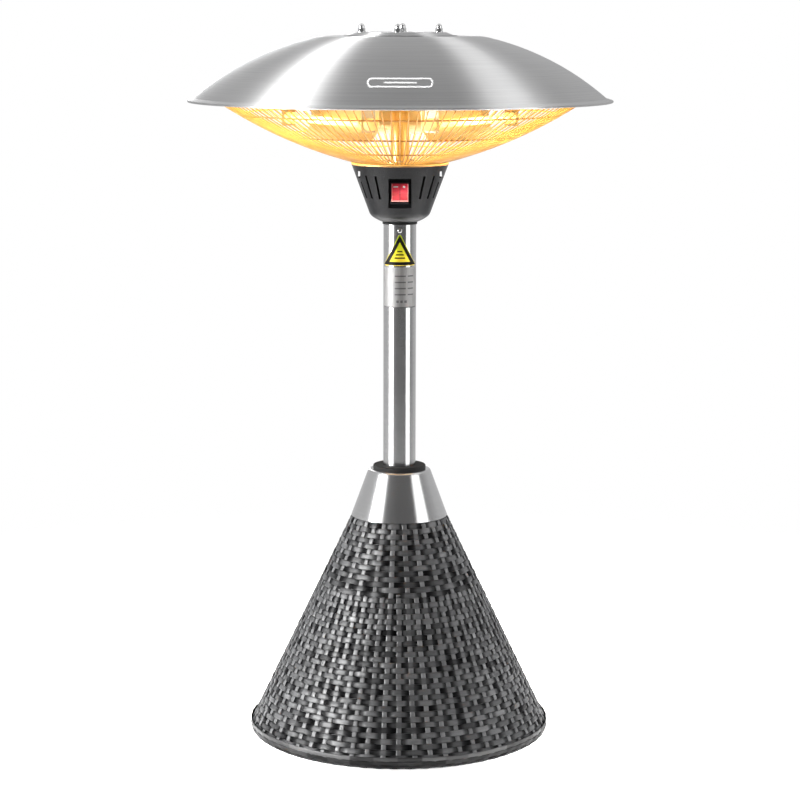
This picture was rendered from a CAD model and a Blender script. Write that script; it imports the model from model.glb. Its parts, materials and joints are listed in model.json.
import json
import math
import random

import bpy
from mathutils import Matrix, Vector


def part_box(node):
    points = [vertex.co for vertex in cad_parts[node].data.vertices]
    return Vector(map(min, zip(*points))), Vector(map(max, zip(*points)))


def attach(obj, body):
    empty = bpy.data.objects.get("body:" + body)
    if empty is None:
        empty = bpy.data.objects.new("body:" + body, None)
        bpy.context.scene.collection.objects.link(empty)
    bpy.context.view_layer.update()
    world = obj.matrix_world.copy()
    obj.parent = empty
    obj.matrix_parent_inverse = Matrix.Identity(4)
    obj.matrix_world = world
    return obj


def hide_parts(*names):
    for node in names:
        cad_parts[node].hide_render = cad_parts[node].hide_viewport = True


# Looks for the table-top patio heater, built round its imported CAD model.
# Metres, +Z up, the switch faces -Y.

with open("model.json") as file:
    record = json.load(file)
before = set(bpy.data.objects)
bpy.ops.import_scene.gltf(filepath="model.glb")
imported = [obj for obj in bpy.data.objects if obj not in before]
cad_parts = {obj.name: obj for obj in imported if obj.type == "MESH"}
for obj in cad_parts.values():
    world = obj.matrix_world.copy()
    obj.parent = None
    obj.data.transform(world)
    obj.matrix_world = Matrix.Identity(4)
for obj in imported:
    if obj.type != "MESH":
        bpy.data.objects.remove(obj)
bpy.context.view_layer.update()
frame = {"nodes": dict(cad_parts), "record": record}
dice = random.Random(20)

SCENE = bpy.context.scene
MM = 0.001


# ---- Places read from the CAD frame ---------------------------------------------------

cone_low, cone_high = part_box("wicker_cone")
_, collar_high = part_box("base_collar")
border_low, border_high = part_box("wicker_border")
tubes_low, tubes_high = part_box("quartz_tubes")
triangle_low, triangle_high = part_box("triangle_label")
plate_low, plate_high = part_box("plate_label")
rocker_low, rocker_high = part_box("rocker_left")

LAMP_Z = (tubes_low.z + tubes_high.z) / 2
CONE_FOOT_RADIUS = cone_high.x
CONE_FOOT_Z = cone_low.z
CONE_TOP_Z = cone_high.z
CONE_TOP_RADIUS = collar_high.x + 0.8 * MM


# ---- Shader graphs ---------------------------------------------------------------------


class Nodes:
    """A node tree, emptied, and short names for the nodes that are added to it."""

    def __init__(self, tree):
        self.tree = tree
        tree.nodes.clear()

    def node(self, kind, inputs=(), **settings):
        node = self.tree.nodes.new(kind)
        for key, value in settings.items():
            setattr(node, key, value)
        for key, value in dict(inputs).items():
            if isinstance(value, bpy.types.NodeSocket):
                self.tree.links.new(value, node.inputs[key])
            else:
                node.inputs[key].default_value = value
        return node

    def math(self, operation, a, b=0.0, clamp=False):
        return self.node("ShaderNodeMath", {0: a, 1: b}, operation=operation, use_clamp=clamp).outputs[0]

    def add(self, a, b):
        return self.math("ADD", a, b)

    def subtract(self, a, b, clamp=False):
        return self.math("SUBTRACT", a, b, clamp)

    def times(self, a, b, clamp=False):
        return self.math("MULTIPLY", a, b, clamp)

    def divide(self, a, b):
        return self.math("DIVIDE", a, b)

    def absolute(self, value):
        return self.math("ABSOLUTE", value)

    def larger(self, a, b):
        return self.math("MAXIMUM", a, b)

    def above(self, value, limit):
        """1 where the value is over the limit, and 0 elsewhere."""
        return self.math("GREATER_THAN", value, limit)

    def below(self, value, limit):
        """1 where the value is under the limit, and 0 elsewhere."""
        return self.math("LESS_THAN", value, limit)

    def away_from_axis(self, x, y):
        return self.math("SQRT", self.add(self.times(x, x), self.times(y, y)))

    def position(self):
        return self.node("ShaderNodeTexCoord").outputs["Object"]

    def axes(self, vector):
        return tuple(self.node("ShaderNodeSeparateXYZ", {0: vector}).outputs)

    def combine(self, x, y, z):
        return self.node("ShaderNodeCombineXYZ", {0: x, 1: y, 2: z}).outputs[0]

    def noise(self, vector, scale, detail=2.0, rough=0.5):
        inputs = {"Vector": vector, "Scale": scale, "Detail": detail, "Roughness": rough}
        return self.node("ShaderNodeTexNoise", inputs).outputs["Fac"]

    def ramp(self, value, *stops):
        """Colour ramp; each stop is (place, grey or colour)."""
        node = self.node("ShaderNodeValToRGB", {0: value})
        ramp = node.color_ramp
        while len(ramp.elements) < len(stops):
            ramp.elements.new(0.5)
        for element, (place, colour) in zip(ramp.elements, stops):
            element.position = place
            if isinstance(colour, (int, float)):
                colour = (colour, colour, colour)
            element.color = (*colour, 1.0)
        return node.outputs[0]

    def mix(self, share, first, second):
        """Goes from the first colour to the second as share goes from 0 to 1."""
        # A Mix node's colour sockets are numbers 6 and 7, and its colour result is number 2.
        return self.node("ShaderNodeMix", {0: share, 6: first, 7: second}, data_type="RGBA").outputs[2]


class Graph(Nodes):
    """A node material: one Principled shader and what feeds it."""

    def __init__(self, name, **sockets):
        self.material = bpy.data.materials.new(name)
        self.material.use_nodes = True
        super().__init__(self.material.node_tree)
        self.shader = self.node("ShaderNodeBsdfPrincipled")
        self.node("ShaderNodeOutputMaterial", {"Surface": self.shader.outputs["BSDF"]})
        for socket, value in sockets.items():
            self.set(socket.replace("_", " "), value)

    def set(self, socket, value):
        if isinstance(value, tuple) and len(value) == 3:
            value = (*value, 1.0)
        if isinstance(value, bpy.types.NodeSocket):
            self.tree.links.new(value, self.shader.inputs[socket])
        else:
            self.shader.inputs[socket].default_value = value

    def bump(self, height, strength, distance):
        inputs = {"Height": height, "Strength": strength, "Distance": distance}
        self.set("Normal", self.node("ShaderNodeBump", inputs).outputs["Normal"])

    def round_grain(self, around, across, lean):
        """Vector for noise that runs in rings about Z: slow around, fine across the rings."""
        x, y, z = self.axes(self.position())
        radius = self.away_from_axis(x, y)
        safe = self.larger(radius, 1e-4)
        cos = self.times(self.divide(x, safe), around)
        sin = self.times(self.divide(y, safe), around)
        step = self.subtract(self.times(radius, lean[0]), self.times(z, lean[1]))
        return self.combine(cos, sin, self.times(step, across))

    def ring_tangent(self):
        self.set("Tangent", self.node("ShaderNodeTangent", direction_type="RADIAL", axis="Z").outputs[0])


# ---- Materials ---------------------------------------------------------------------------


def ring_brushed(name, tone, rough, aniso, contrast, around, across, lean):
    """Steel brushed in rings about Z, as a spun dome or a tube polished in a lathe."""
    g = Graph(name, Metallic=1.0, Anisotropic=aniso, Anisotropic_Rotation=0.25)
    grain = g.noise(g.round_grain(around, across, lean), scale=1.0, detail=3.0, rough=0.65)
    low, high = tone * (1 - contrast), tone * (1 + contrast)
    g.set("Base Color", g.ramp(grain, (0.3, (low, low, low * 1.005)), (0.7, (high, high, high * 0.995))))
    smudge = g.noise(g.position(), scale=14.0, detail=3.0)
    wear = g.add(g.times(grain, 0.1), g.times(smudge, 0.06))
    g.set("Roughness", g.add(wear, rough - 0.08))
    g.ring_tangent()
    g.bump(grain, strength=0.06, distance=0.0002)
    return g.material


def polished(name, colour, rough, spots=60.0):
    """Smooth metal with faint smudges."""
    g = Graph(name, Metallic=1.0)
    smudge = g.noise(g.position(), scale=spots, detail=4.0, rough=0.6)
    dim = tuple(0.82 * c for c in colour)
    g.set("Base Color", g.ramp(smudge, (0.25, dim), (0.65, colour)))
    g.set("Roughness", g.add(g.times(smudge, 0.18), rough - 0.06))
    g.bump(g.noise(g.position(), scale=1800.0, detail=2.0), strength=0.03, distance=0.0001)
    return g.material


def cast(name, colour, rough, grain_scale, depth, contrast=0.3, shine=0.5, metallic=0.0):
    """Grained surface: mouldings, powder coat, rubber, castings, printed paint."""
    g = Graph(name, Metallic=metallic, Specular_IOR_Level=shine)
    grain = g.noise(g.position(), scale=grain_scale, detail=3.0, rough=0.6)
    cloud = g.noise(g.position(), scale=25.0, detail=3.0)
    mixed = g.add(g.times(grain, 0.6), g.times(cloud, 0.4))
    dark = tuple(c * (1 - contrast) for c in colour)
    light = tuple(min(1.0, c * (1 + contrast)) for c in colour)
    g.set("Base Color", g.ramp(mixed, (0.35, dark), (0.65, light)))
    g.set("Roughness", g.add(g.times(grain, 0.2), rough - 0.1))
    g.bump(grain, strength=0.35, distance=depth)
    return g.material


def strand_material(name, darkest, lightest):
    """Flat resin strand: each strand has its own grey and fine streaks along its length."""
    g = Graph(name)
    tone = g.node("ShaderNodeAttribute", attribute_name="tone").outputs["Fac"]
    grain = g.node("ShaderNodeAttribute", attribute_name="grain").outputs["Vector"]
    streak = g.noise(grain, scale=1.0, detail=3.0, rough=0.7)
    patch = g.noise(g.position(), scale=22.0, detail=2.0)
    spread = g.times(g.subtract(streak, 0.5), 1.5)
    drift = g.times(g.subtract(patch, 0.5), 0.6)
    vary = g.add(1.0, g.add(spread, drift))
    middle = tuple((a + b) * 0.42 for a, b in zip(darkest, lightest))
    grey = g.times(tone, vary, clamp=True)
    g.set("Base Color", g.ramp(grey, (0.0, darkest), (0.5, middle), (1.0, lightest)))
    g.set("Specular IOR Level", g.times(tone, 1.25, clamp=True))
    g.set("Roughness", g.add(g.times(streak, 0.25), 0.38))
    g.bump(streak, strength=0.3, distance=0.0003)
    return g.material


def triangle_print():
    """Yellow triangle with a black border and a stack of plain bars: no real symbol."""
    half_width, tip_lift = 20.4 * MM, 1.4 * MM
    border_start, border_end = 0.7 * MM, 4.9 * MM
    stack_foot, stack_height = 9.0 * MM, 12.6 * MM
    bar_pitch, bar_share = 4.2 * MM, 0.42
    bar_half, bar_taper = 7.2 * MM, 0.42
    height = triangle_high.z - triangle_low.z
    slope = math.hypot(half_width, height)

    g = Graph("mat_yellow_label", Specular_IOR_Level=0.08, Roughness=0.4)
    x, _, z = g.axes(g.position())
    side = g.absolute(x)
    low = g.subtract(z, triangle_low.z)
    # Distance in from the two slanted edges, then from the nearest of all three.
    drop = g.subtract(triangle_high.z + tip_lift, z)
    slant = g.subtract(g.times(drop, half_width / slope), g.times(side, height / slope))
    inset = g.math("MINIMUM", low, slant)
    border = g.times(g.above(inset, border_start), g.below(inset, border_end))
    stack = g.subtract(low, stack_foot)
    stripe = g.below(g.math("FRACT", g.divide(stack, bar_pitch)), bar_share)
    band = g.below(side, g.subtract(bar_half, g.times(stack, bar_taper)))
    middle = g.times(g.above(stack, 0.0), g.below(stack, stack_height))
    ink = g.larger(border, g.times(g.times(stripe, band), middle))

    fade = g.noise(g.position(), scale=160.0, detail=3.0)
    rise = g.add(g.divide(low, height), g.times(g.subtract(fade, 0.5), 0.3))
    yellow = g.ramp(rise, (0.1, (0.46, 0.36, 0.03)), (0.7, (0.24, 0.31, 0.006)))
    black = g.ramp(fade, (0.3, 0.002), (0.7, 0.005))
    g.set("Base Color", g.mix(ink, yellow, black))
    g.bump(g.noise(g.position(), scale=900.0, detail=2.0), strength=0.05, distance=0.0001)
    return g.material


def silver_print():
    """Silver foil label with plain grey bars where such labels have writing."""
    bars_drop, bars_height, bar_pitch, bar_share = 10.5 * MM, 28.0 * MM, 7.9 * MM, 0.22
    bars_left, bars_right, gap_middle, gap_half = -6.5 * MM, 17.0 * MM, 9.0 * MM, 1.2 * MM
    squares_drop, squares_half, squares_right = 33.5 * MM, 1.6 * MM, 10.0 * MM
    square_pitch, square_share, square_start = 5.2 * MM, 0.6, 20 * MM
    lower_edge = 1.2 * MM

    g = Graph("mat_silver_label", Metallic=0.75)
    x, _, z = g.axes(g.position())
    down = g.subtract(plate_high.z - bars_drop, z)
    line = g.below(g.math("FRACT", g.divide(down, bar_pitch)), bar_share)
    left = g.above(x, bars_left)
    width = g.times(left, g.below(x, bars_right))
    height = g.times(g.above(down, 0.0), g.below(down, bars_height))
    gap = g.above(g.absolute(g.subtract(x, gap_middle)), gap_half)
    lines = g.times(g.times(g.times(width, height), line), gap)
    # A row of plain squares under the bars, and a dark lower edge.
    cell = g.below(g.math("FRACT", g.divide(g.add(x, square_start), square_pitch)), square_share)
    level = g.below(g.absolute(g.subtract(down, squares_drop)), squares_half)
    squares = g.times(g.times(cell, level), g.times(left, g.below(x, squares_right)))
    edge = g.below(z, plate_low.z + lower_edge)
    ink = g.larger(g.larger(lines, squares), edge)

    grain = g.noise(g.combine(g.times(x, 900.0), 0.0, g.times(z, 60.0)), scale=1.0, detail=3.0)
    foil = g.ramp(grain, (0.3, 0.15), (0.7, 0.22))
    g.set("Base Color", g.mix(g.times(ink, 0.75), foil, (0.03, 0.03, 0.032, 1.0)))
    g.set("Roughness", g.add(g.times(grain, 0.2), 0.40))
    return g.material


def heat_tinted_wire():
    """Guard wire: browned plating outside, and lit yellow on the side that faces the lamps."""
    g = Graph("mat_guard_wire", Metallic=0.35, Emission_Strength=1.0)
    tint = g.noise(g.position(), scale=35.0, detail=3.0, rough=0.6)
    brown, tan, straw = (0.40, 0.19, 0.05), (0.52, 0.28, 0.09), (0.62, 0.40, 0.15)
    g.set("Base Color", g.ramp(tint, (0.3, brown), (0.55, tan), (0.75, straw)))
    g.set("Roughness", g.add(g.times(tint, 0.25), 0.34))
    normal = g.node("ShaderNodeNewGeometry").outputs["True Normal"]
    inward = g.node("ShaderNodeVectorMath", {0: (0.0, 0.0, LAMP_Z), 1: g.position()}, operation="SUBTRACT")
    aim = g.node("ShaderNodeVectorMath", {0: inward.outputs[0]}, operation="NORMALIZE")
    facing = g.node("ShaderNodeVectorMath", {0: normal, 1: aim.outputs[0]}, operation="DOT_PRODUCT")
    lit = g.times(g.add(facing.outputs["Value"], 0.5), 0.9, clamp=True)
    warmth = g.times(lit, g.add(g.times(tint, 0.4), 0.8))
    g.set("Emission Color", g.ramp(warmth, (0.0, 0.0), (0.35, (0.55, 0.26, 0.03)), (1.0, (1.3, 0.84, 0.13))))
    return g.material


def lit_quartz():
    """Clear tube over a glowing coil: half see-through, with an amber glow of its own."""
    g = Graph("mat_quartz", Roughness=0.08, Alpha=0.5, Emission_Strength=0.7)
    cloud = g.noise(g.position(), scale=70.0, detail=2.0)
    g.set("Base Color", g.ramp(cloud, (0.3, (0.95, 0.80, 0.50)), (0.7, (1.0, 0.90, 0.66))))
    g.set("Emission Color", g.ramp(cloud, (0.3, (1.0, 0.50, 0.10)), (0.7, (1.0, 0.62, 0.20))))
    return g.material


def glowing(name, cool, hot, strength, scale):
    """Surface that shines by itself, in clouds of two colours."""
    g = Graph(name, Roughness=0.5, Emission_Strength=strength)
    cloud = g.noise(g.position(), scale, detail=2.0)
    g.set("Base Color", g.ramp(cloud, (0.3, cool), (0.7, hot)))
    g.set("Emission Color", g.ramp(cloud, (0.3, cool), (0.7, hot)))
    return g.material


def red_moulding():
    """Translucent red rocker lit from behind: brighter in the middle than at its ends."""
    glow_reach, side_rim, foot_rim = 11.0 * MM, 0.9 * MM, 1.5 * MM
    g = Graph("mat_red_rocker", Roughness=0.22, Coat_Weight=0.5, Coat_Roughness=0.15, Emission_Strength=0.45)
    x, _, z = g.axes(g.position())
    cloud = g.noise(g.position(), scale=300.0, detail=3.0)
    away = g.absolute(g.subtract(z, (rocker_low.z + rocker_high.z) / 2))
    near = g.subtract(1.0, g.divide(away, glow_reach), clamp=True)
    glow = g.add(g.times(near, 0.7), g.times(cloud, 0.3))
    body = g.ramp(glow, (0.1, (0.40, 0.02, 0.035)), (0.8, (0.68, 0.08, 0.11)))
    # The moulding's outer rims and its foot catch more light.
    outer = max(abs(rocker_low.x), abs(rocker_high.x)) - side_rim
    rim = g.larger(g.above(g.absolute(x), outer), g.below(z, rocker_low.z + foot_rim))
    g.set("Base Color", g.mix(g.times(rim, 0.75), body, (0.62, 0.42, 0.40, 1.0)))
    g.set("Emission Color", g.ramp(glow, (0.1, (0.20, 0.004, 0.01)), (0.85, (0.75, 0.04, 0.07))))
    return g.material


def sleeve():
    """Woven glass sleeve: two sets of threads that cross on the slant."""
    threads, pitch = 12.0, 5000.0
    g = Graph("mat_lead_sleeve", Roughness=0.85, Sheen_Weight=0.3)
    x, y, z = g.axes(g.position())
    turn = g.times(g.math("ARCTAN2", y, x), threads)
    rising = g.math("SINE", g.add(turn, g.times(z, pitch)))
    falling = g.math("SINE", g.subtract(turn, g.times(z, pitch)))
    weave = g.times(rising, falling)
    level = g.add(g.times(weave, 0.5), 0.5)
    g.set("Base Color", g.ramp(level, (0.2, (0.60, 0.57, 0.48)), (0.8, (0.84, 0.82, 0.74))))
    g.bump(weave, strength=0.4, distance=0.0003)
    return g.material


FINISH = {
    "shade_steel": lambda: ring_brushed(
        "mat_shade_steel", tone=0.68, rough=0.48, aniso=1.0, contrast=0.09,
        around=1.3, across=900.0, lean=(1.0, 0.55),
    ),
    "pole_steel": lambda: ring_brushed(
        "mat_pole_steel", tone=0.58, rough=0.20, aniso=0.70, contrast=0.04,
        around=0.9, across=1400.0, lean=(0.0, 1.0),
    ),
    "collar_steel": lambda: ring_brushed(
        "mat_collar_steel", tone=0.60, rough=0.22, aniso=0.75, contrast=0.04,
        around=0.8, across=1400.0, lean=(0.3, 1.0),
    ),
    "alloy": lambda: ring_brushed(
        "mat_alloy", tone=0.66, rough=0.34, aniso=0.4, contrast=0.05,
        around=2.0, across=1800.0, lean=(1.0, 1.0),
    ),
    "column_steel": lambda: polished("mat_column_steel", (0.95, 0.66, 0.26), rough=0.30),
    "bright_steel": lambda: polished("mat_bright_steel", (0.74, 0.74, 0.74), rough=0.16, spots=200.0),
    "zinc_steel": lambda: polished("mat_zinc_steel", (0.60, 0.51, 0.36), rough=0.38, spots=120.0),
    "mirror_aluminium": lambda: polished("mat_mirror_aluminium", (0.86, 0.73, 0.46), rough=0.30, spots=30.0),
    "brass": lambda: polished("mat_brass", (0.80, 0.60, 0.26), rough=0.3, spots=150.0),
    "guard_wire": heat_tinted_wire,
    "black_steel": lambda: cast(
        "mat_black_steel", (0.022, 0.022, 0.023), rough=0.55, grain_scale=1100.0, depth=0.0003
    ),
    "cast_flange": lambda: cast(
        "mat_cast_flange", (0.05, 0.05, 0.052), rough=0.7, grain_scale=420.0, depth=0.0008, metallic=0.6
    ),
    "concrete": lambda: cast(
        "mat_concrete", (0.40, 0.39, 0.37), rough=0.92, grain_scale=260.0, depth=0.0012, contrast=0.35
    ),
    "rubber": lambda: cast(
        "mat_rubber", (0.006, 0.006, 0.006), rough=0.75, grain_scale=900.0, depth=0.0003, shine=0.15
    ),
    "black_plastic": lambda: cast(
        "mat_black_plastic", (0.0042, 0.0044, 0.0050), rough=0.30, grain_scale=1500.0, depth=0.0002,
        contrast=0.2, shine=0.24,
    ),
    "black_gloss": lambda: cast(
        "mat_black_gloss", (0.022, 0.022, 0.024), rough=0.32, grain_scale=500.0, depth=0.00006, contrast=0.15
    ),
    "badge_print": lambda: cast(
        "mat_badge_print", (0.86, 0.86, 0.86), rough=0.4, grain_scale=700.0, depth=0.00005, contrast=0.06
    ),
    "red_rocker": red_moulding,
    "wicker": lambda: strand_material("mat_wicker", (0.0008, 0.0008, 0.0009), (0.050, 0.051, 0.053)),
    "wicker_edge": lambda: strand_material("mat_wicker_edge", (0.001, 0.001, 0.0011), (0.050, 0.0505, 0.052)),
    "yellow_label": triangle_print,
    "silver_label": silver_print,
    "lead_sleeve": sleeve,
    "quartz": lit_quartz,
    "ceramic": lambda: glowing(
        "mat_ceramic", (0.86, 0.62, 0.20), (0.95, 0.76, 0.32), strength=0.35, scale=90.0
    ),
    "filament": lambda: glowing(
        "mat_filament", (1.0, 0.42, 0.06), (1.0, 0.66, 0.24), strength=2.8, scale=60.0
    ),
}
MATERIAL = {slot: make() for slot, make in FINISH.items()}

for part in frame["record"]["subparts"]:
    mesh = frame["nodes"][part["node"]].data
    mesh.materials.clear()
    mesh.materials.append(MATERIAL[part["material_slot"]])


# ---- Mesh building ---------------------------------------------------------------------


def round_points(count):
    """Angles of this many points spaced evenly round a circle."""
    return [2 * math.pi * i / count for i in range(count)]


def piece(name, verts, faces, slot, body="root", replaced=(), attributes=(), smooth=True):
    """One mesh object that rides on a body and takes a slot's material."""
    mesh = bpy.data.meshes.new(name)
    mesh.from_pydata([tuple(v) for v in verts], [], faces)
    mesh.validate()
    for key, kind, values in attributes:
        layer = mesh.attributes.new(key, kind, "POINT")
        if kind == "FLOAT_VECTOR":
            layer.data.foreach_set("vector", [x for v in values for x in v])
        else:
            layer.data.foreach_set("value", values)
    if smooth:
        mesh.shade_smooth()
    else:
        mesh.shade_flat()
    mesh.update()
    obj = bpy.data.objects.new(name, mesh)
    SCENE.collection.objects.link(obj)
    mesh.materials.append(MATERIAL[slot])
    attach(obj, body)
    if replaced:
        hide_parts(*replaced)
    return obj


class Sweep:
    """Gathers closed or open sweeps of a small section into one mesh."""

    def __init__(self):
        self.verts, self.faces, self.tone, self.grain = [], [], [], []

    def add(self, rings, closed, tones=None, grains=None):
        start, count, sides = len(self.verts), len(rings), len(rings[0])
        for ring in rings:
            self.verts.extend(ring)
        for i in range(count if closed else count - 1):
            a, b = start + i * sides, start + (i + 1) % count * sides
            for k in range(sides):
                m = (k + 1) % sides
                self.faces.append((a + k, a + m, b + m, b + k))
        if not closed:
            self.faces.append(tuple(start + k for k in reversed(range(sides))))
            self.faces.append(tuple(start + (count - 1) * sides + k for k in range(sides)))
        self.tone.extend(tones or [0.5] * (count * sides))
        self.grain.extend(grains or [(0, 0, 0)] * (count * sides))

    def attributes(self):
        return [("tone", "FLOAT", self.tone), ("grain", "FLOAT_VECTOR", self.grain)]


# Flat strand section: (across, thickness) in units of half width and half thickness.
STRAND = [(-1.0, -0.15), (-0.9, -0.85), (0.0, -1.0), (0.9, -0.85), (1.0, -0.15),
          (0.94, 0.55), (0.62, 0.94), (0.0, 1.0), (-0.62, 0.94), (-0.94, 0.55)]
# How light each of those points is: the strand's underside and sides are darker.
STRAND_SHADE = (0.5, 0.3, 0.3, 0.3, 0.5, 0.92, 1.0, 1.0, 1.0, 0.92)


def strand_grain(length, seed):
    """Texture vectors for one section: streaks run along the strand, and differ by seed."""
    return [(length * 30 + seed, across * 2.6, seed) for across, _ in STRAND]


# ---- Woven cone -------------------------------------------------------------------------

SLANT = Vector((CONE_FOOT_RADIUS - CONE_TOP_RADIUS, CONE_FOOT_Z - CONE_TOP_Z))
SLANT_LENGTH = SLANT.length
DOWN = SLANT.normalized()  # along the slant, as (radius, z)
OUT = Vector((-DOWN.y, DOWN.x))  # square to the slant, outwards

STAKES = 60
ROWS = 44
ROW_PITCH = SLANT_LENGTH / ROWS
ROW_SWING = 0.75 * MM
ROW_HALF_THICK = 0.5 * MM
ROW_WANDER = 0.6 * MM
ROW_SHARPNESS = 2.3
ROW_TONES = (0.32, 0.46)
DASH_TONES = (-0.14, -0.06, 0.0, 0.0, 0.05, 0.12)  # added to the row's own
CELL_SHADES = (0.12, 0.3, 0.75, 1.0, 1.0, 1.05)
STAKE_SWING = 0.42 * MM
STAKE_HALF_THICK = 0.5 * MM
STAKE_HALF_WIDTH = 3.1 * MM
STAKE_WANDER = 0.4 * MM
STAKE_SHARPNESS = 1.5
STAKE_TONES = (0.50, 0.72)
WEAVE_DEPTH = 1.95 * MM
SPLIT_AT = 94 * MM  # down the slant, where every second stake starts
STEPS_PER_CELL = 8


def slant_point(along, depth, angle):
    """Point this far down the slant from the top, and this deep under the cone's face."""
    radius = CONE_TOP_RADIUS + DOWN.x * along - OUT.x * depth
    z = CONE_TOP_Z + DOWN.y * along - OUT.y * depth
    return Vector((radius * math.cos(angle), radius * math.sin(angle), z))


def cone_radius(along):
    return CONE_TOP_RADIUS + DOWN.x * along


def squared(value, sharp):
    """Flattens the tops of a wave between -1 and 1: the sharper, the flatter."""
    return math.tanh(sharp * value) / math.tanh(sharp)


def weave_row(sweep, row):
    """One level strand, over and under the stakes."""
    along = (row + 0.5) * ROW_PITCH
    stakes = STAKES if along > SPLIT_AT else STAKES // 2
    width = ROW_PITCH * dice.uniform(0.47, 0.5)
    tone = dice.uniform(*ROW_TONES)
    seed = dice.uniform(0, 500)
    wander = [dice.uniform(-1, 1) * ROW_WANDER for _ in range(stakes)]
    # Each dash that shows between two stakes has its own grey and its own lean.
    dash_tone = [dice.choice(DASH_TONES) + dice.uniform(-0.05, 0.05) for _ in range(stakes)]
    dash_lean = [dice.uniform(-0.16, 0.16) for _ in range(stakes)]
    # Some of the cells between two stakes lie in shadow.
    cell_shade = [dice.choice(CELL_SHADES) for _ in range(stakes)]

    rings, tones, grains = [], [], []
    for i in range(stakes * STEPS_PER_CELL):
        share = i / STEPS_PER_CELL
        angle = 2 * math.pi * share / stakes
        swing = squared(math.cos(math.pi * share), ROW_SHARPNESS) * (-1) ** row * ROW_SWING
        cell, t = int(share) % stakes, share - int(share)
        ease = t * t * (3 - 2 * t)
        shift = wander[cell] * (1 - ease) + wander[(cell + 1) % stakes] * ease
        dash = int((share + 1 - row % 2) / 2) % stakes
        ring = []
        for across, high in STRAND:
            depth = WEAVE_DEPTH - swing - high * ROW_HALF_THICK - across * width * dash_lean[dash]
            ring.append(slant_point(along + shift + across * width, depth, angle))
        rings.append(ring)

        rise = 0.5 + 0.5 * swing / ROW_SWING
        inside = max(0.0, 1.0 - (abs(t - 0.5) / 0.38) ** 4)
        now = (tone + dash_tone[dash]) * min(1.0, max(0.28, 1.6 * rise - 0.2))
        now *= 1.0 - (1.0 - cell_shade[cell]) * inside
        tones.extend([now * shade for shade in STRAND_SHADE])
        grains.extend(strand_grain(angle * cone_radius(along), seed))
    sweep.add(rings, True, tones, grains)


def weave_stake(sweep, stake):
    """One strand down the slant. Every second one starts lower, where there is room for it."""
    start = 0.0 if stake % 2 == 0 else SPLIT_AT + dice.uniform(-3, 3) * MM
    tone = dice.uniform(*STAKE_TONES)
    seed = dice.uniform(0, 500)
    count = int((SLANT_LENGTH - start) / ROW_PITCH * STEPS_PER_CELL)
    rings, tones, grains = [], [], []
    for i in range(count + 1):
        along = start + (SLANT_LENGTH - start) * i / count
        row = along / ROW_PITCH - 0.5
        order = stake if along > SPLIT_AT else stake // 2
        swing = -squared(math.cos(math.pi * row), STAKE_SHARPNESS) * (-1) ** order * STAKE_SWING
        radius = cone_radius(along)
        lean = 2 * math.pi * stake / STAKES + STAKE_WANDER * math.sin(along * 60 + seed) / radius
        depths = [WEAVE_DEPTH - swing - high * STAKE_HALF_THICK for _, high in STRAND]
        angles = [lean + across * STAKE_HALF_WIDTH / radius for across, _ in STRAND]
        rings.append([slant_point(along, depth, angle) for depth, angle in zip(depths, angles)])

        now = tone * (0.4 + 0.6 * min(1.0, 0.5 + 0.75 * swing / STAKE_SWING))
        tones.extend([max(0.0, now) * shade for shade in STRAND_SHADE])
        grains.extend(strand_grain(along, seed))
    sweep.add(rings, False, tones, grains)


def weave_cone():
    sweep = Sweep()
    for row in range(ROWS):
        weave_row(sweep, row)
    for stake in range(STAKES):
        weave_stake(sweep, stake)
    return piece(
        "woven_cone", sweep.verts, sweep.faces, "wicker",
        replaced=["wicker_cone"], attributes=sweep.attributes(),
    )


weave_cone()


# ---- Wrapped border ------------------------------------------------------------------------

BORDER_TONES = (0.36, 0.16, 0.07, 0.04, 0.02)
BORDER_HALF_WIDTH = 2.9 * MM
BORDER_HALF_THICK = 0.55 * MM
BORDER_WAVE = 0.25 * MM
BORDER_WANDER = 0.5 * MM
BORDER_STROKES = 41
STROKE_STEPS = 12
BORDER_STEPS = 480
CORE_STEPS = 240


def border_lane(sweep, path, lane):
    """One flat strand that runs round the foot, at one point of the edge's section."""
    radius, z = path[lane]
    run = (Vector(path[min(lane + 1, len(path) - 1)]) - Vector(path[max(lane - 1, 0)])).normalized()
    face = Vector((-run.y, run.x))
    seed = dice.uniform(0, 500)
    stroke = [dice.uniform(0.35, 1.4) for _ in range(BORDER_STROKES)]
    rings, tones, grains = [], [], []
    for i, angle in enumerate(round_points(BORDER_STEPS)):
        wave = BORDER_WAVE * math.sin(angle * STAKES + lane * math.pi)
        shift = BORDER_WANDER * math.sin(angle * 7 + seed)
        ring = []
        for across, high in STRAND:
            along_edge, off_edge = across * BORDER_HALF_WIDTH + shift, high * BORDER_HALF_THICK + wave
            r = radius + run.x * along_edge + face.x * off_edge
            level = z + run.y * along_edge + face.y * off_edge
            ring.append(Vector((r * math.cos(angle), r * math.sin(angle), max(level, border_low.z))))
        rings.append(ring)
        drift = BORDER_TONES[lane] * stroke[i // STROKE_STEPS]
        tones.extend([drift * shade for shade in STRAND_SHADE])
        grains.extend(strand_grain(angle * border_high.x, seed))
    sweep.add(rings, True, tones, grains)


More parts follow.
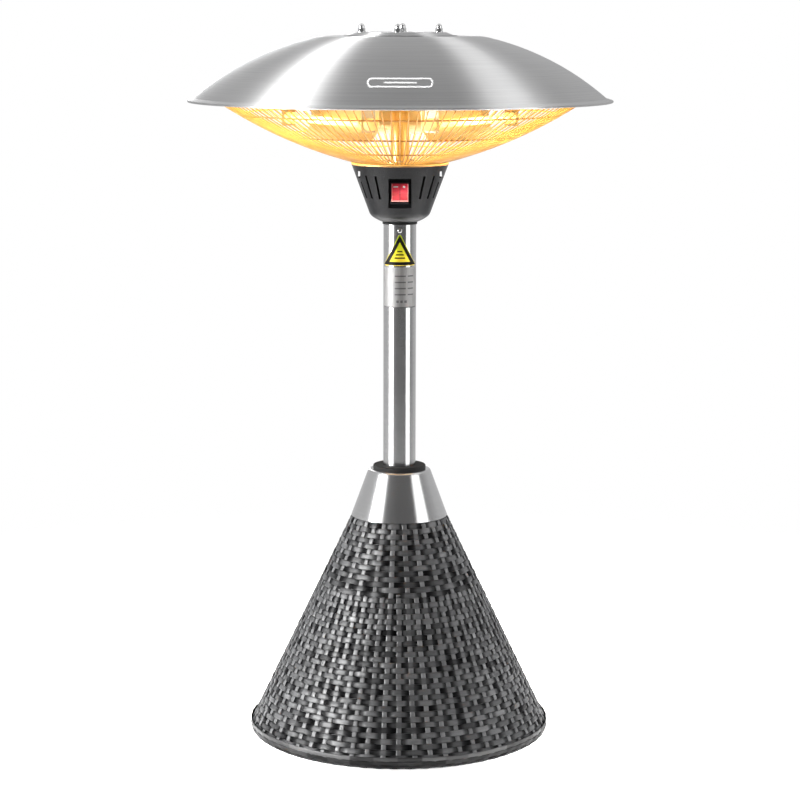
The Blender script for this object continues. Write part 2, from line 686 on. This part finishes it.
def weave_border():
    """Flat strands laid along the rounded foot of the cone, over and under the plate's edge."""
    sweep = Sweep()
    edge, top_z, low_z = border_high.x, border_high.z, border_low.z
    # Section of the edge from the cone's foot round to its underside.
    path = [
        (edge - 0.9 * MM, top_z + 1.0 * MM),
        (edge - 0.9 * MM, top_z - 4.0 * MM),
        (edge - 2.6 * MM, top_z - 8.6 * MM),
        (edge - 6.6 * MM, low_z + 1.9 * MM),
        (edge - 10.5 * MM, low_z + 0.9 * MM),
    ]
    for lane in range(len(path)):
        border_lane(sweep, path, lane)
    # A dark core closes the space behind the strands.
    section = [
        (edge - 2.4 * MM, top_z),
        (edge - 9.5 * MM, top_z),
        (edge - 12.4 * MM, low_z + 1.6 * MM),
        (edge - 8.0 * MM, low_z + 1.7 * MM),
        (edge - 4.4 * MM, top_z - 8.0 * MM),
    ]
    core = []
    for angle in round_points(CORE_STEPS):
        core.append([Vector((r * math.cos(angle), r * math.sin(angle), z)) for r, z in section])
    sweep.add(core, True, [0.05] * (CORE_STEPS * len(section)))
    return piece(
        "woven_border", sweep.verts, sweep.faces, "wicker_edge",
        replaced=["wicker_border"], attributes=sweep.attributes(),
    )


weave_border()


# ---- Guard wires -----------------------------------------------------------------------------

WIRES = 128
WIRE_RADIUS = 0.75 * MM
WIRE_STEPS = 22
WIRE_SIDES = 8
# Three points, as (radius, z), of the arc that the CAD's square strips follow.
WIRE_ARC = ((58.5 * MM, 745.9 * MM), (110.0 * MM, 761.9 * MM), (226.0 * MM, 819.4 * MM))


def circle_through(a, b, c):
    """Middle and radius of the circle through three points of a plane."""
    (ax, ay), (bx, by), (cx, cy) = a, b, c
    aa, bb, cc = ax**2 + ay**2, bx**2 + by**2, cx**2 + cy**2
    twice = 2 * (ax * (by - cy) + bx * (cy - ay) + cx * (ay - by))
    x = (aa * (by - cy) + bb * (cy - ay) + cc * (ay - by)) / twice
    y = (aa * (cx - bx) + bb * (ax - cx) + cc * (bx - ax)) / twice
    return Vector((x, y)), math.hypot(ax - x, ay - y)


def circle_round(middle, radius, first, second, sides):
    """Points of a small circle about a place, in the plane of two unit vectors."""
    return [middle + radius * (math.cos(a) * first + math.sin(a) * second) for a in round_points(sides)]


def guard_wires():
    centre, reach = circle_through(*WIRE_ARC)
    low, _, high = WIRE_ARC
    first = math.atan2(low[0] - centre.x, centre.y - low[1])
    last = math.atan2(high[0] - centre.x, centre.y - high[1])
    sweep = Sweep()
    up = Vector((0, 0, 1))
    for turn in round_points(WIRES):
        out = Vector((math.cos(turn), math.sin(turn), 0))
        side = Vector((-math.sin(turn), math.cos(turn), 0))
        rings = []
        for i in range(WIRE_STEPS + 1):
            slant = first + (last - first) * i / WIRE_STEPS
            normal = out * math.sin(slant) - up * math.cos(slant)
            spot = out * (centre.x + reach * math.sin(slant)) + up * (centre.y - reach * math.cos(slant))
            rings.append(circle_round(spot, WIRE_RADIUS, normal, side, WIRE_SIDES))
        sweep.add(rings, False)
    return piece("guard_wires", sweep.verts, sweep.faces, "guard_wire", replaced=["grille_wires"])


guard_wires()


# ---- Glowing coils ------------------------------------------------------------------------------

LAMP_ANGLES = (90.0, 210.0, 330.0)
LAMP_DISTANCE = tubes_high.y - 5.0 * MM
LAMP_LIGHT_DISTANCE = LAMP_DISTANCE + 25.0 * MM
COIL_HALF = 94 * MM
COIL_RADIUS = 1.9 * MM
COIL_WIRE = 0.42 * MM
COIL_TURNS = 104
COIL_STEPS = COIL_TURNS * 10
COIL_SIDES = 5


def heating_coils():
    sweep = Sweep()
    up = Vector((0, 0, 1))
    for lamp in LAMP_ANGLES:
        turn = math.radians(lamp)
        out = Vector((math.cos(turn), math.sin(turn), 0))
        along = Vector((-math.sin(turn), math.cos(turn), 0))
        middle = out * LAMP_DISTANCE + up * LAMP_Z
        rings = []
        for i in range(COIL_STEPS + 1):
            share = i / COIL_STEPS
            phase = 2 * math.pi * COIL_TURNS * share
            spoke = out * math.cos(phase) + up * math.sin(phase)
            spot = middle + along * (COIL_HALF * (2 * share - 1)) + spoke * COIL_RADIUS
            rings.append(circle_round(spot, COIL_WIRE, spoke, along, COIL_SIDES))
        sweep.add(rings, False)
    return piece("lamp_coils", sweep.verts, sweep.faces, "filament", replaced=["heating_filaments"])


heating_coils()


# ---- Marks on the rockers --------------------------------------------------------------------

PIVOT = Vector((0, -38 * MM, 709 * MM))
REST_TILT = math.radians(-9)
FACE_SLOPE = math.radians(9)  # either way from the pivot's line
ROCKER_FACE = 3.4 * MM
MARK_THICK = 0.06 * MM
MARK_LIFT = 0.02 * MM


def rounded_bar(width, height, depth, corner, count=5):
    """Corners and faces of a flat bar with rounded ends, facing -Y, about the origin."""
    outline = []
    for cx, cz, start in ((1, 1, 0), (-1, 1, 90), (-1, -1, 180), (1, -1, 270)):
        for i in range(count + 1):
            a = math.radians(start + 90 * i / count)
            x = cx * (width / 2 - corner) + corner * math.cos(a)
            z = cz * (height / 2 - corner) + corner * math.sin(a)
            outline.append((x, z))
    n = len(outline)
    verts = [Vector((x, y, z)) for y in (0, -depth) for x, z in outline]
    faces = [tuple(reversed(range(n))), tuple(range(n, 2 * n))]
    faces += [(k, (k + 1) % n, n + (k + 1) % n, n + k) for k in range(n)]
    return verts, faces


def turned(vector, angle):
    """The vector turned about X."""
    cos, sin = math.cos(angle), math.sin(angle)
    return Vector((vector.x, vector.y * cos - vector.z * sin, vector.y * sin + vector.z * cos))


def rocker_mark(name, body, x, level, width, height):
    """A small pale mark printed on a rocker's upper face, tilted as the face is."""
    verts, faces = rounded_bar(width, height, MARK_THICK, min(width, height) * 0.48)
    rise = ROCKER_FACE + level * math.tan(FACE_SLOPE) + MARK_LIFT
    middle = PIVOT + turned(Vector((x, -rise, level)), REST_TILT)
    moved = [middle + turned(v, FACE_SLOPE + REST_TILT) for v in verts]
    return piece(name, moved, faces, "badge_print", body=body, smooth=False)


rocker_mark("mark_left", "left_rocker", x=-5.4 * MM, level=7.3 * MM, width=6.2 * MM, height=1.7 * MM)
rocker_mark("mark_right", "right_rocker", x=5.2 * MM, level=7.3 * MM, width=2.9 * MM, height=2.7 * MM)


# ---- Stage: floor, light and camera -------------------------------------------------------------

FLOOR_RADIUS = 1.5
FLOOR_RINGS = 40
FLOOR_SIDES = 96


def floor_mesh():
    verts, faces = [Vector((0, 0, 0))], []
    for i in range(1, FLOOR_RINGS + 1):
        reach = FLOOR_RADIUS * i / FLOOR_RINGS
        verts += [Vector((reach * math.cos(a), reach * math.sin(a), 0)) for a in round_points(FLOOR_SIDES)]
    faces += [(0, 1 + k, 1 + (k + 1) % FLOOR_SIDES) for k in range(FLOOR_SIDES)]
    for i in range(FLOOR_RINGS - 1):
        a, b = 1 + i * FLOOR_SIDES, 1 + (i + 1) * FLOOR_SIDES
        for k in range(FLOOR_SIDES):
            m = (k + 1) % FLOOR_SIDES
            faces.append((a + k, b + k, b + m, a + m))
    mesh = bpy.data.meshes.new("floor")
    mesh.from_pydata([tuple(v) for v in verts], [], faces)
    mesh.shade_smooth()
    return mesh


def floor_material():
    """Pale and nearly white. It fades out towards the rim, into the white behind it."""
    g = Graph("mat_floor", Roughness=0.9, Specular_IOR_Level=0.1, Emission_Strength=0.8)
    x, y, _ = g.axes(g.position())
    g.set("Base Color", g.ramp(g.noise(g.position(), scale=9.0, detail=3.0), (0.3, 0.86), (0.7, 0.89)))
    g.set("Emission Color", (1.0, 1.0, 1.0))
    span = {"Value": g.away_from_axis(x, y), "From Min": 0.75, "From Max": 1.45, "To Min": 1.0, "To Max": 0.0}
    g.set("Alpha", g.node("ShaderNodeMapRange", span, interpolation_type="SMOOTHERSTEP").outputs[0])
    return g.material


def make_floor():
    mesh = floor_mesh()
    mesh.materials.append(floor_material())
    floor = bpy.data.objects.new("floor", mesh)
    SCENE.collection.objects.link(floor)
    # The floor is seen, but throws no soft light up at the heater.
    floor.visible_diffuse = False


make_floor()


def add_light(data, place, glossy):
    """A light that the camera doesn't see, and that shows in reflections only if it is glossy."""
    light = bpy.data.objects.new(data.name, data)
    light.location = place
    light.visible_camera = False
    light.visible_glossy = glossy
    SCENE.collection.objects.link(light)
    return light


def softbox(name, place, aim, size, radiance, spread=180, glossy=True):
    data = bpy.data.lights.new(name, "AREA")
    data.shape = "RECTANGLE"
    data.size, data.size_y = size
    data.energy = 4 * data.size * data.size_y * radiance
    data.spread = math.radians(spread)
    light = add_light(data, place, glossy)
    light.rotation_euler = (Vector(aim) - Vector(place)).to_track_quat("-Z", "Y").to_euler()


def lamp_light(lamp):
    """Warm light from just outside a quartz tube."""
    turn = math.radians(lamp)
    data = bpy.data.lights.new(f"lamp_{int(lamp)}", "POINT")
    data.energy = 1.6
    data.color = (1.0, 0.56, 0.16)
    data.shadow_soft_size = 0.02
    x, y = LAMP_LIGHT_DISTANCE * math.cos(turn), LAMP_LIGHT_DISTANCE * math.sin(turn)
    add_light(data, (x, y, LAMP_Z), glossy=False)


BOX_DISTANCE = 2.2


def place_lights():
    # A tall box out to each side of the camera, and another high over each side.
    for name, side, radiance, turn, width in (("left", -1, 1.9, 62, 1.45), ("right", 1, 1.65, 61, 1.2)):
        a = math.radians(turn)
        spot = (side * BOX_DISTANCE * math.sin(a), -BOX_DISTANCE * math.cos(a), 0.75)
        softbox(f"side_{name}", spot, aim=(0, 0, 0.75), size=(width, 2.3), radiance=radiance)
        above = (side * 1.50, 0.0, 2.75)
        softbox(f"high_{name}", above, aim=(0, 0, 0.87), size=(1.6, 1.5), radiance=0.42 * radiance)
    softbox("rim_left", (-0.52, 2.45, 1.1), aim=(0, 0, 0.6), size=(0.5, 1.2), radiance=2.4)
    # Narrow boxes aimed at the cone. The two straight out to the sides aren't mirrored by the metal.
    cone_box = {"aim": (0, 0, 0.14), "size": (0.5, 1.1), "spread": 50}
    softbox("base_key", (-1.9, -0.95, 0.75), radiance=5.0, **cone_box)
    softbox("base_left", (-2.15, -0.10, 0.75), radiance=9.5, glossy=False, **cone_box)
    softbox("base_right", (2.15, -0.10, 0.75), radiance=11.0, glossy=False, **cone_box)
    softbox("top", (0, -0.9, 2.9), aim=(0, 0, 0.9), size=(1.8, 1.6), radiance=0.40)
    for lamp in LAMP_ANGLES:
        lamp_light(lamp)


place_lights()


def make_world():
    """White where the camera looks past the object, softly graded grey where it lights it."""
    world = bpy.data.worlds.new("studio")
    world.use_nodes = True
    SCENE.world = world
    w = Nodes(world.node_tree)
    x, y, z = w.axes(w.node("ShaderNodeTexCoord").outputs["Generated"])
    # Level light from the right is weaker than from the left; light from above is even.
    weaker = w.times(w.times(x, w.subtract(1.0, z)), -0.3)
    span = w.node("ShaderNodeMapRange", {"Value": w.add(weaker, y), "From Min": -1.0})
    grey = w.ramp(span.outputs[0], (0.10, (0.12, 0.12, 0.122)), (0.62, (0.62, 0.62, 0.625)))
    graded = w.node("ShaderNodeBackground", {"Color": grey})
    plain = w.node("ShaderNodeBackground", {"Color": (1, 1, 1, 1)})
    seen = w.node("ShaderNodeLightPath").outputs["Is Camera Ray"]
    both = w.node("ShaderNodeMixShader", {0: seen, 1: graded.outputs[0], 2: plain.outputs[0]})
    w.node("ShaderNodeOutputWorld", {"Surface": both.outputs[0]})


make_world()

camera_data = bpy.data.cameras.new("camera")
camera_data.sensor_width = 36.0
camera_data.lens = 110.376
camera = bpy.data.objects.new("camera", camera_data)
camera.location = (-0.0004, -3.133, 0.9427)
camera.rotation_euler = (math.radians(80.859), math.radians(-0.12), 0.0)
SCENE.collection.objects.link(camera)
SCENE.camera = camera
SCENE.view_settings.view_transform = "Standard"
